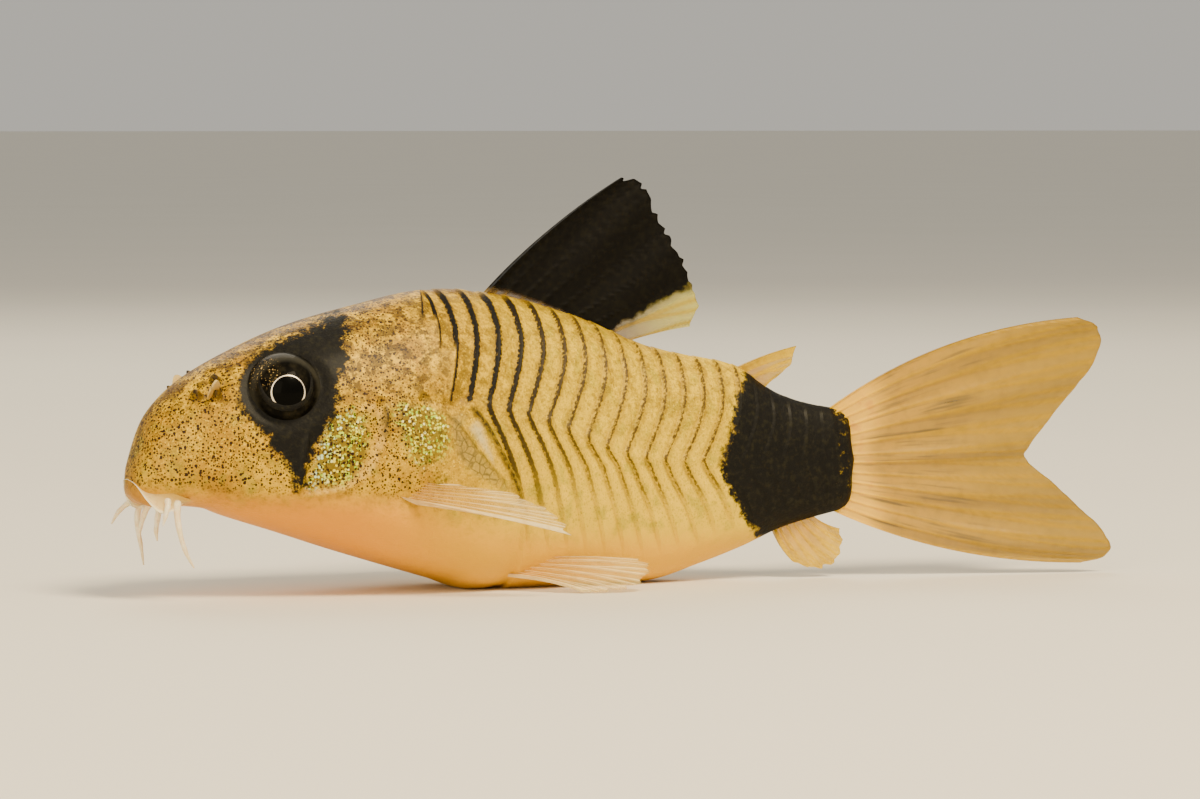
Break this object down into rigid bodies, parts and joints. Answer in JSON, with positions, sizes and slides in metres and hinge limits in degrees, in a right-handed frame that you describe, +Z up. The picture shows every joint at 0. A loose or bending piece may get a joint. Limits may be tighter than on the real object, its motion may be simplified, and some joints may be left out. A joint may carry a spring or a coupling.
{
  "type": "corydoras catfish",
  "caption": "Panda corydoras, a 50 mm armoured catfish with a black eye mask, dorsal fin and tail band, at rest on its belly and pelvic fins, tail turned slightly to its left.",
  "frame": {"origin": "middle of the bounding box's base, on the surface the fish rests on", "axes": "+Z up, +X along the fish from snout to tail fin, the fish's left side faces -Y"},
  "size_m": [0.0504, 0.0158, 0.02],
  "materials": {
    "skin": "moist satin, tan with black mask and tail band",
    "eye": "glossy, wet",
    "dark_fin": "black membrane, clear rear tip",
    "clear_fin": "thin golden membrane on stiff rays",
    "barbel": "moist pale flesh"
  },
  "bodies": {
    "root": {"head": "skin", "trunk": "skin", "tail_base": "skin", "gill_cover_left": "skin", "gill_cover_right": "skin", "eye_left": "eye", "eye_right": "eye", "dorsal_fin": "dark_fin", "adipose_fin": "clear_fin", "caudal_fin_upper_lobe": "clear_fin", "caudal_fin_lower_lobe": "clear_fin", "anal_fin": "clear_fin", "pectoral_fin_left": "clear_fin", "pectoral_fin_right": "clear_fin", "pelvic_fin_left": "clear_fin", "pelvic_fin_right": "clear_fin", "barbel_outer_left": "barbel", "barbel_outer_right": "barbel", "barbel_inner_left": "barbel", "barbel_inner_right": "barbel", "barbel_chin_left": "barbel", "barbel_chin_right": "barbel"}
  },
  "joints": []
}
